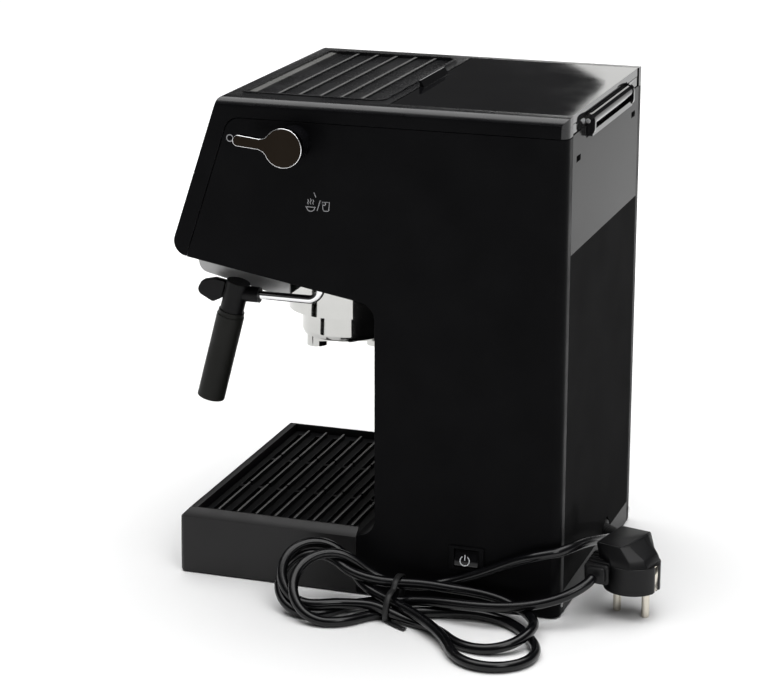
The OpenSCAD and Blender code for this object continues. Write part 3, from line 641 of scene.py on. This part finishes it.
def make_materials():
    """Every finish on the machine by its name."""
    looks = {
        "satin_black": dict(base=(0.0024, 0.0024, 0.0028), rough=0.38, specular=0.06, grain=(2600, 0.10),
                            wear=0.2, wear_colour=(0.012, 0.012, 0.013), ior=1.35),
        "band_black": dict(base=(0.002, 0.002, 0.0028), rough=0.27, specular=0.5, grain=(2600, 0.08),
                           wear=0.2, wear_colour=(0.03, 0.03, 0.031)),
        "tray_black": dict(base=(0.006, 0.0055, 0.006), rough=0.34, specular=0.25, grain=(2400, 0.10),
                           wear=0.35, wear_colour=(0.10, 0.10, 0.10)),
        "gloss_black": dict(base=(0.003, 0.003, 0.0036), rough=0.035, specular=0.5, grain=(700, 0.01),
                            rough_spread=0.015, ior=1.42),
        "rear_black": dict(base=(0.014, 0.014, 0.0143), rough=0.12, specular=0.12, grain=(900, 0.02),
                           rough_spread=0.03, ior=1.18),
        "soft_black": dict(base=(0.0022, 0.0022, 0.0026), rough=0.40, specular=0.13, grain=(2200, 0.16),
                           wear=0.25, wear_colour=(0.04, 0.04, 0.04)),
        "tube_black": dict(base=(0.007, 0.0072, 0.006), rough=0.5, specular=0.16, grain=(2000, 0.22)),
        "rubber": dict(base=(0.010, 0.010, 0.010), rough=0.62, specular=0.3, grain=(1800, 0.3)),
        "cord_black": dict(base=(0.002, 0.002, 0.0026), rough=0.2, specular=0.35, grain=(2600, 0.12),
                           rough_spread=0.08),
        "plug_black": dict(base=(0.003, 0.003, 0.0035), rough=0.40, specular=0.25, grain=(2400, 0.22),
                           wear=0.3, wear_colour=(0.06, 0.06, 0.06)),
        "pin_metal": dict(base=(0.66, 0.62, 0.54), rough=0.25, metallic=1, grain=(900, 0.05),
                          stretch=(1, 1, 0.1)),
        "chrome": dict(base=(0.8, 0.8, 0.81), rough=0.06, metallic=1, grain=(300, 0.01),
                       rough_spread=0.03),
        "group_chrome": dict(base=(0.5, 0.5, 0.485), rough=0.07, metallic=1, grain=(300, 0.01),
                             rough_spread=0.03),
        # Painted highlight: the tops of the ribs are coloured light grey where they would catch a
        # reflection.
        "rib_top_highlight": dict(base=(0.11, 0.11, 0.108), rough=0.3, specular=0.5, grain=(1800, 0.1)),
        # Painted highlight: a light grey band across the cup tray's black front slope.
        "tray_front_highlight": dict(base=(0.004, 0.004, 0.0045), rough=0.3, specular=0.4, grain=(1800, 0.08),
                           stripe=(CENTRE.y - 0.0802, CENTRE.y - 0.0765, (0.13, 0.13, 0.125))),
        # Painted reflection: the chrome lever's face is coloured a nearly black brown metal.
        "lever_painted_reflection": dict(base=(0.012, 0.009, 0.0065), rough=0.05, metallic=1, grain=(300, 0.01),
                           rough_spread=0.02),
        "steel": dict(base=(0.6, 0.6, 0.61), rough=0.24, metallic=1, grain=(1200, 0.06), anisotropy=0.4,
                      stretch=(1, 1, 0.06)),
        "silver": dict(base=(0.34, 0.34, 0.34), rough=0.34, specular=0.5, metallic=0.75,
                       grain=(2600, 0.10)),
        "aluminium": dict(base=(0.55, 0.55, 0.56), rough=0.45, metallic=1, grain=(900, 0.35)),
        "brass": dict(base=(0.62, 0.45, 0.2), rough=0.28, metallic=1, grain=(900, 0.05)),
        "copper": dict(base=(0.7, 0.36, 0.22), rough=0.25, metallic=1, grain=(900, 0.05)),
        "pump_plastic": dict(base=(0.5, 0.47, 0.38), rough=0.5, grain=(1800, 0.2)),
        "hose": dict(base=(0.7, 0.7, 0.66), rough=0.35, grain=(1200, 0.1)),
        "tank_clear": dict(base=(0.16, 0.17, 0.18), rough=0.12, specular=0.5, grain=(600, 0.03),
                           alpha=0.6),
        "valve_red": dict(base=(0.6, 0.1, 0.05), rough=0.35, grain=(1500, 0.1)),
        "lamp": dict(base=(0.8, 0.3, 0.05), rough=0.12, grain=(800, 0.02), coat=0.5),
        "print_grey": dict(base=(0.27, 0.27, 0.28), rough=0.5, grain=(1800, 0.1)),
        "print_white": dict(base=(0.6, 0.62, 0.64), rough=0.5, grain=(1800, 0.1)),
    }
    return {name: finish_material(name, **look) for name, look in looks.items()}


NODE_MATERIAL = {
    "satin_black": ["side_panel_right", "side_panel_left", "column_front", "head_floor", "switch_bezel"],
    "band_black": ["top_shell", "cup_tray"],
    "tray_black": ["drip_tray"],
    "gloss_black": ["tank_lid", "power_rocker", "lever_boss"],
    "rear_black": ["rear_panel"],
    "soft_black": ["drip_grille", "base_plate", "wand_hub", "wand_selector", "holder_handle", "thumb_tab",
                   "coffee_button", "steam_button", "tank_bay", "tank_handle", "pump_mounts"],
    "tube_black": ["wand_tube"],
    "rubber": ["rubber_feet", "group_gasket"],
    "pin_metal": ["plug_pins"],
    "chrome": ["steam_lever", "wand_pipe"],
    "group_chrome": ["holder_body", "holder_spouts", "group_ring"],
    "steel": ["shower_screen", "filter_basket", "boiler_bolts", "heater_terminals", "lid_pin",
              "panel_screws", "wand_nut", "thermostats"],
    "silver": ["control_panel", "head_shroud"],
    "aluminium": ["boiler_lower", "boiler_upper"],
    "brass": ["steam_valve"],
    "copper": ["steam_pipe"],
    "pump_plastic": ["pump"],
    "hose": ["supply_hose", "boiler_hose", "valve_socket"],
    "tank_clear": ["water_tank"],
    "valve_red": ["tank_valve"],
    "lamp": ["indicator_lamps"],
}
PLAIN_EDGE = 0.25
# How far the edges of a part are rounded, in millimetres, where that isn't PLAIN_EDGE.
EDGE_ROUND = {
    "top_shell": 0.6, "drip_tray": 0.7, "tank_lid": 0.5, "steam_lever": 1.1, "lever_boss": 0.6,
    "switch_bezel": 0.5, "power_rocker": 0.4, "cup_tray": 0.5, "drip_grille": 0.4, "wand_selector": 0.8,
    "wand_hub": 0.6, "wand_tube": 0.6, "side_panel_right": 0.4, "side_panel_left": 0.4, "holder_body": 0.5,
    "holder_spouts": 0.6, "control_panel": 0.4, "coffee_button": 0.8, "steam_button": 0.8,
    "head_shroud": 0.4, "water_tank": 0.4, "group_ring": 0.5, "rubber_feet": 0.4, "plug_pins": 0.7,
}


def paint(piece, material):
    piece.data.materials.clear()
    piece.data.materials.append(material)


def dress_node(name, material):
    """Gives a CAD part its material, and rounds its sharp edges a little as moulded ones are."""
    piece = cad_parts[name]
    paint(piece, material)
    mesh = piece.data
    if "custom_normal" in mesh.attributes:
        mesh.attributes.remove(mesh.attributes["custom_normal"])
    mesh.polygons.foreach_set("use_smooth", [True] * len(mesh.polygons))
    weld = piece.modifiers.new("weld", "WELD")
    weld.merge_threshold = 0.00001
    flat = piece.modifiers.new("flat", "DECIMATE")
    flat.decimate_type = "DISSOLVE"
    flat.angle_limit = math.radians(0.6)
    bevel = piece.modifiers.new("edges", "BEVEL")
    bevel.width = EDGE_ROUND.get(name, PLAIN_EDGE) * MM
    bevel.segments = 2
    bevel.limit_method = "ANGLE"
    bevel.angle_limit = math.radians(38)
    bevel.harden_normals = True


# ---------------------------------------------------------------- stage
def ramp(nodes, links, value, stops):
    """A grey level that follows value along stops of (place, level)."""
    node = nodes.new("ShaderNodeValToRGB")
    while len(node.color_ramp.elements) < len(stops):
        node.color_ramp.elements.new(0.5)
    for element, (place, level) in zip(node.color_ramp.elements, stops):
        element.position = place
        element.color = (level, level, level, 1)
    links.new(value, node.inputs["Fac"])
    return node.outputs["Color"]


def make_stage():
    """A white floor that brightens away from the machine, so that it has no horizon."""
    half = 9.0
    corners = [(-half, -half, 0), (half, -half, 0), (half, half, 0), (-half, half, 0)]
    mesh = bpy.data.meshes.new("floor")
    mesh.from_pydata(corners, [], [(0, 1, 2, 3)])
    floor = new_object("floor", mesh, smooth=False)
    material = bpy.data.materials.new("floor")
    material.use_nodes = True
    nodes, links = material.node_tree.nodes, material.node_tree.links
    shader = nodes["Principled BSDF"]
    set_inputs(shader, Base_Color=(0.9, 0.9, 0.9, 1), Roughness=0.7, Specular_IOR_Level=0.1)
    where = nodes.new("ShaderNodeTexCoord")
    length = nodes.new("ShaderNodeVectorMath")
    length.operation = "LENGTH"
    links.new(where.outputs["Object"], length.inputs[0])
    glow = ramp(nodes, links, length.outputs["Value"], [(0.25, 0.0), (0.6, 0.15), (1.0, 0.4)])
    links.new(glow, shader.inputs["Emission Color"])
    shader.inputs["Emission Strength"].default_value = 1.0
    paint(floor, material)


def area_light(name, place, target, size, power):
    data = bpy.data.lights.new(name, "AREA")
    data.shape = "RECTANGLE"
    data.size, data.size_y = size
    data.energy = power
    light = bpy.data.objects.new(name, data)
    light.location = place
    light.rotation_euler = (Vector(target) - Vector(place)).to_track_quat("-Z", "Y").to_euler()
    bpy.context.scene.collection.objects.link(light)


def make_reflector():
    """A bright card to the machine's left, which the camera only sees mirrored in the corner of the lid."""
    x = -1.8
    outline = [
        (-0.52, 0.551), (-0.322, 0.648), (-0.44, 0.775), (-0.3, 0.95), (0.2, 0.95), (0.2, 0.45),
        (-0.52, 0.45)
    ]
    mesh = bpy.data.meshes.new("reflector")
    mesh.from_pydata([(x, y, z) for y, z in outline], [], [tuple(range(len(outline)))])
    card = new_object("reflector", mesh, smooth=False)
    material = bpy.data.materials.new("reflector")
    material.use_nodes = True
    shader = material.node_tree.nodes["Principled BSDF"]
    set_inputs(shader, Base_Color=(0, 0, 0, 1), Emission_Color=(1, 1, 0.98, 1), Emission_Strength=1.6)
    paint(card, material)
    card.visible_camera = False
    card.visible_shadow = False
    card.visible_diffuse = False


def make_lights():
    """White near the horizon, dark above it, and bright overhead, as in a tent with a soft box on top."""
    world = bpy.data.worlds.new("studio")
    bpy.context.scene.world = world
    world.use_nodes = True
    nodes, links = world.node_tree.nodes, world.node_tree.links
    where = nodes.new("ShaderNodeTexCoord")
    split = nodes.new("ShaderNodeSeparateXYZ")
    links.new(where.outputs["Generated"], split.inputs["Vector"])
    stops = [(0.05, 0.9), (0.10, 0.04), (0.62, 0.04), (0.9, 1.0)]
    sky = ramp(nodes, links, split.outputs["Z"], stops)
    links.new(sky, nodes["Background"].inputs["Color"])
    nodes["Background"].inputs["Strength"].default_value = 1.0
    area_light("overhead", (-0.2, 0.0, 2.1), (-0.2, 0, 0), (2.6, 2.6), 56)
    area_light("camera_side", (1.5, 1.3, 1.7), (0, 0, 0.15), (0.8, 0.8), 9)
    make_reflector()
    bpy.context.scene.view_settings.view_transform = "Standard"


# ---------------------------------------------------------------- the machine
def put(pieces, material, body):
    """Paints new pieces and lets them ride on a body of the machine."""
    for piece in pieces:
        paint(piece, materials[material])
        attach(piece, body)


def finish_faces(name, material, chosen):
    """Some faces of a part have a finish of their own: chosen(centre, normal) picks them."""
    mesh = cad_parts[name].data
    mesh.materials.append(materials[material])
    index = len(mesh.materials) - 1
    for face in mesh.polygons:
        if chosen(face.center - CENTRE, face.normal):
            face.material_index = index


make_camera()
cord, cord_line = make_cord()
tie = make_tie(cord_line)
gland = make_gland()
plug_pieces, earth_clips = make_plug()
materials = make_materials()

put([cord], "cord_black", "root")
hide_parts("cord_lead", "cord_hank", "cord_tail")
put(tie, "plug_black", "root")
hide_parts("cord_tie")
put(gland, "rubber", "root")
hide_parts("cord_gland")
put(plug_pieces, "plug_black", "root")
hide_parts("plug_body")
put(earth_clips, "pin_metal", "root")

for slot_name, names in NODE_MATERIAL.items():
    for name in names:
        dress_node(name, materials[slot_name])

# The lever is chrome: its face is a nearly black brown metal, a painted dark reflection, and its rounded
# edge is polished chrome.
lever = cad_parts["steam_lever"]
lever.data.materials[0] = materials["lever_painted_reflection"]
lever.data.materials.append(materials["chrome"])
lever.modifiers["edges"].material = 1

# The tank's black rim and hinge, the rib tops with a painted highlight, the cup tray's front slope with a
# painted highlight band and the band's flat sides.
HINGE_Y = REAR_Y - 5 * MM
RIM_Z = 292.9 * MM
GRILLE_TOP_Z = 39.5 * MM
RIB_TOP_Z = 303.9 * MM
finish_faces("water_tank", "gloss_black", lambda place, normal: place.y > HINGE_Y or place.z > RIM_Z)
# The flat rib tops of the grille and the cup tray get the painted highlight colour.
finish_faces("drip_grille", "rib_top_highlight", lambda place, normal: normal.z > 0.9 and place.z > GRILLE_TOP_Z)
finish_faces("cup_tray", "rib_top_highlight",
             lambda place, normal: normal.z > 0.9 and -0.2 * MM < place.z - RIB_TOP_Z < 0.05 * MM)
# The cup tray's front slope gets the black finish with its painted highlight band.
finish_faces("cup_tray", "tray_front_highlight", lambda place, normal: 0.8 < normal.z < 0.999 and place.y < -70 * MM)
finish_faces("top_shell", "satin_black", lambda place, normal: abs(normal.x) > 0.97)

put(side_marks(), "print_grey", "root")
put([switch_mark()], "print_white", "rocker")
for icon, body in zip(front_marks(), ("coffee_key", "steam_key")):
    put([icon], "print_white", body)

make_stage()
make_lights()
